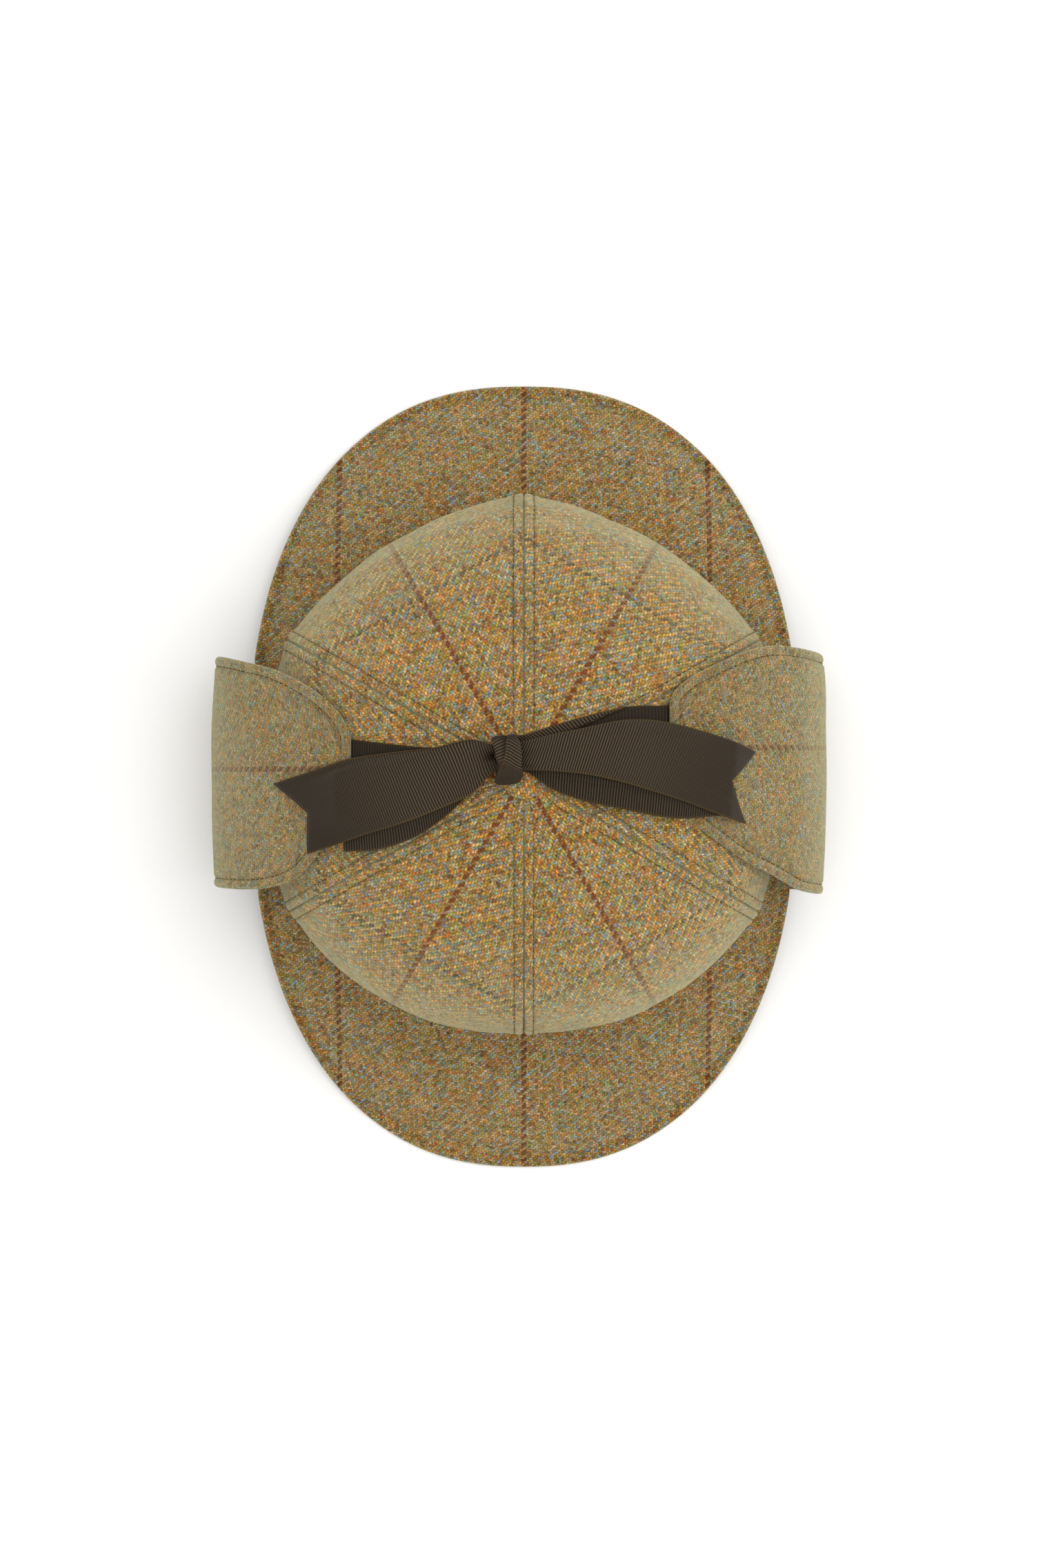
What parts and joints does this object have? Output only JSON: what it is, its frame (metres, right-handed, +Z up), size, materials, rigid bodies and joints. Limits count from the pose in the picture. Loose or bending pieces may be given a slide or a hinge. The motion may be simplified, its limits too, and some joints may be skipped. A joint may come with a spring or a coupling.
{
  "type": "deerstalker hat",
  "caption": "Tweed deerstalker hat with a panelled crown, front and back peaks, and ear flaps folded up and tied over the crown in a ribbon bow.",
  "frame": {"origin": "on the resting surface, under the middle of the crown", "axes": "+Z up, -Y the way the wearer faces, +X the wearer's left; the front and back peaks point along -Y and +Y"},
  "size_m": [0.2431, 0.318, 0.1607],
  "materials": {
    "tweed": "matte olive-tan wool tweed, twill woven, with a fine rust and navy overcheck",
    "ribbon": "dark brown ribbed grosgrain with a low sheen"
  },
  "bodies": {
    "root": {"crown_panel_front_left": "tweed", "crown_panel_side_left": "tweed", "crown_panel_back_left": "tweed", "crown_panel_back_right": "tweed", "crown_panel_side_right": "tweed", "crown_panel_front_right": "tweed", "crown_button": "tweed", "front_peak": "tweed", "back_peak": "tweed", "left_ear_flap": "tweed", "right_ear_flap": "tweed", "left_tie": "ribbon", "right_tie": "ribbon", "left_loop": "ribbon", "right_loop": "ribbon", "left_tail": "ribbon", "right_tail": "ribbon", "bow_knot": "ribbon"}
  },
  "joints": []
}
